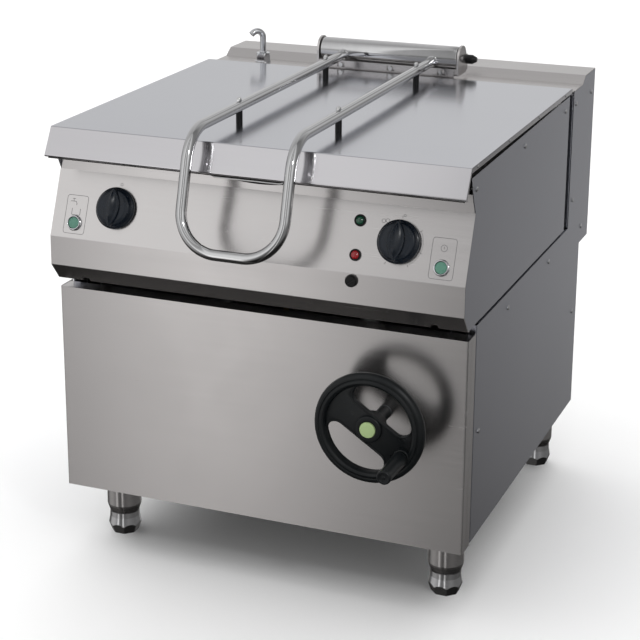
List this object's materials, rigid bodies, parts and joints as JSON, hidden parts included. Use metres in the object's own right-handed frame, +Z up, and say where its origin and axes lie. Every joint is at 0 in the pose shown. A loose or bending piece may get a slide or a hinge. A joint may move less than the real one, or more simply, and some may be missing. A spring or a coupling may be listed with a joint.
{
  "type": "tilting bratt pan",
  "caption": "Free-standing stainless steel tilting bratt pan: hinged lid with a tubular handle, sloped control panel, handwheel-driven tilt and a water tap behind the pan.",
  "frame": {"origin": "on the floor, at the centre of the bounding box", "axes": "+Z up, +X to the operator's right as they face the control panel, +Y from the operator towards the wall"},
  "size_m": [0.804, 1.05, 0.9165],
  "materials": {
    "panel_steel": "fine straight brushed stainless sheet",
    "lid_steel": "finely brushed stainless sheet, nearly mirror bright",
    "pan_steel": "drawn stainless, satin",
    "frame_steel": "mill finish stainless tube",
    "tube_steel": "satin polished tube",
    "foot_steel": "turned stainless",
    "pin_steel": "ground bar",
    "fastener": "bright domed fastener",
    "chrome": "polished chrome plate",
    "heat_plate": "machined plate",
    "element": "heat-darkened tubular element",
    "gearbox_iron": "dark grey paint",
    "brass_fitting": "plain",
    "rubber_black": "matt",
    "black_plastic": "fine grained",
    "valve_plastic": "moulded",
    "wheel_black": "moulded phenolic",
    "knob_black": "moulded",
    "button_green": "moulded",
    "cap_green": "moulded",
    "lens_green": "translucent lens",
    "lens_red": "translucent lens"
  },
  "bodies": {
    "base": {"front_panel": "panel_steel", "side_panel_left": "panel_steel", "side_panel_right": "panel_steel", "panel_screws": "fastener", "frame": "frame_steel", "rear_panel": "panel_steel", "column_cover": "panel_steel", "column_back": "panel_steel", "rest_buffers": "rubber_black", "legs": "panel_steel", "tap_base": "chrome", "water_pipe": "brass_fitting", "solenoid_valve": "valve_plastic", "cable_gland": "black_plastic", "gearbox_housing": "gearbox_iron"},
    "tilting_body": {"control_panel": "panel_steel", "tilt_casing": "panel_steel", "casing_screws": "fastener", "tilt_frame": "frame_steel", "frame_pins": "pin_steel", "pan_tub": "pan_steel", "pan_heat_plate": "heat_plate", "heating_elements": "element", "rotary_switches": "black_plastic", "button_bezels": "chrome", "lamp_bezels": "black_plastic", "lamp_green": "lens_green", "lamp_red": "lens_red", "reset_cap": "black_plastic", "hinge_bracket": "panel_steel", "hinge_cradle": "panel_steel", "hinge_bolts": "fastener", "hinge_adjuster": "black_plastic", "hinge_axle": "pin_steel"},
    "lid": {"lid_shell": "lid_steel", "lid_rivets": "fastener", "lid_liner": "panel_steel", "lid_handle": "tube_steel", "handle_spacers": "black_plastic", "handle_screws": "fastener", "hinge_tube": "tube_steel"},
    "handwheel": {"handwheel": "wheel_black", "wheel_cap": "cap_green", "handwheel_shaft": "pin_steel", "grip_stud": "pin_steel"},
    "wheel_grip": {"handwheel_grip": "wheel_black"},
    "cross_shaft": {"cross_shaft": "pin_steel"},
    "spindle_tube": {"spindle_tube": "frame_steel"},
    "lift_screw": {"lift_screw": "pin_steel"},
    "lift_ram": {"lift_ram": "pin_steel"},
    "knob_left": {"knob_left": "knob_black"},
    "knob_right": {"knob_right": "knob_black"},
    "button_left": {"button_left": "button_green"},
    "button_right": {"button_right": "button_green"},
    "tap_spout": {"tap_spout": "chrome"},
    "foot_front_left": {"foot_front_left": "foot_steel"},
    "foot_front_right": {"foot_front_right": "foot_steel"},
    "foot_rear_left": {"foot_rear_left": "foot_steel"},
    "foot_rear_right": {"foot_rear_right": "foot_steel"}
  },
  "joints": [
    {"name": "pan_tilt", "type": "hinge", "parent": "base", "child": "tilting_body", "pos_m": [0, -0.328, 0.585], "axis": [1, 0, 0], "range_deg": [0, 75]},
    {"name": "lid_open", "type": "hinge", "parent": "tilting_body", "child": "lid", "pos_m": [0, 0.372, 0.886], "axis": [-1, 0, 0], "range_deg": [0, 85]},
    {"name": "handwheel_spin", "type": "hinge", "parent": "base", "child": "handwheel", "pos_m": [0.25, -0.423, 0.388], "axis": [0, 1, 0], "range_deg": [0, 4320]},
    {"name": "grip_spin", "type": "hinge", "parent": "handwheel", "child": "wheel_grip", "pos_m": [0.31254, -0.437, 0.3466], "axis": [0, -1, 0], "continuous": true},
    {"name": "cross_shaft_spin", "type": "hinge", "parent": "base", "child": "cross_shaft", "pos_m": [0.215, -0.283, 0.388], "axis": [-1, 0, 0], "range_deg": [0, 4320]},
    {"name": "spindle_swing", "type": "hinge", "parent": "base", "child": "spindle_tube", "pos_m": [0.185, -0.283, 0.388], "axis": [1, 0, 0], "range_deg": [0, 20.5]},
    {"name": "screw_spin", "type": "hinge", "parent": "spindle_tube", "child": "lift_screw", "pos_m": [0.185, -0.283, 0.388], "axis": [0, 0.3205, 0.9472], "range_deg": [0, 4320]},
    {"name": "ram_extend", "type": "slide", "parent": "spindle_tube", "child": "lift_ram", "axis": [0, 0.3205, 0.9472], "range_m": [0, 0.0958]},
    {"name": "knob_left_turn", "type": "hinge", "parent": "tilting_body", "child": "knob_left", "pos_m": [-0.273, -0.3489, 0.70739], "axis": [0, 0.9266, -0.376], "range_deg": [0, 270]},
    {"name": "knob_right_turn", "type": "hinge", "parent": "tilting_body", "child": "knob_right", "pos_m": [0.273, -0.3489, 0.70739], "axis": [0, 0.9266, -0.376], "range_deg": [0, 270]},
    {"name": "button_left_press", "type": "slide", "parent": "tilting_body", "child": "button_left", "axis": [0, 0.9266, -0.376], "range_m": [0, 0.003], "stiffness_N_per_m": 600, "springref_m": -0.004},
    {"name": "button_right_press", "type": "slide", "parent": "tilting_body", "child": "button_right", "axis": [0, 0.9266, -0.376], "range_m": [0, 0.003], "stiffness_N_per_m": 600, "springref_m": -0.004},
    {"name": "tap_swivel", "type": "hinge", "parent": "base", "child": "tap_spout", "pos_m": [-0.299, 0.388, 0.86], "axis": [0, 0, 1], "range_deg": [-90, 90]},
    {"name": "foot_front_left_adjust", "type": "slide", "parent": "base", "child": "foot_front_left", "axis": [0, 0, -1], "range_m": [0, 0.03]},
    {"name": "foot_front_right_adjust", "type": "slide", "parent": "base", "child": "foot_front_right", "axis": [0, 0, -1], "range_m": [0, 0.03]},
    {"name": "foot_rear_left_adjust", "type": "slide", "parent": "base", "child": "foot_rear_left", "axis": [0, 0, -1], "range_m": [0, 0.03]},
    {"name": "foot_rear_right_adjust", "type": "slide", "parent": "base", "child": "foot_rear_right", "axis": [0, 0, -1], "range_m": [0, 0.03]}
  ],
  "couplings": [
    {"joint": "handwheel_spin", "follows": "pan_tilt", "ratio": 57.6},
    {"joint": "cross_shaft_spin", "follows": "pan_tilt", "ratio": 57.6},
    {"joint": "screw_spin", "follows": "pan_tilt", "ratio": 57.6},
    {"joint": "spindle_swing", "follows": "pan_tilt", "ratio": 0.2688},
    {"joint": "ram_extend", "follows": "pan_tilt", "m_per_rad": 0.073118}
  ]
}
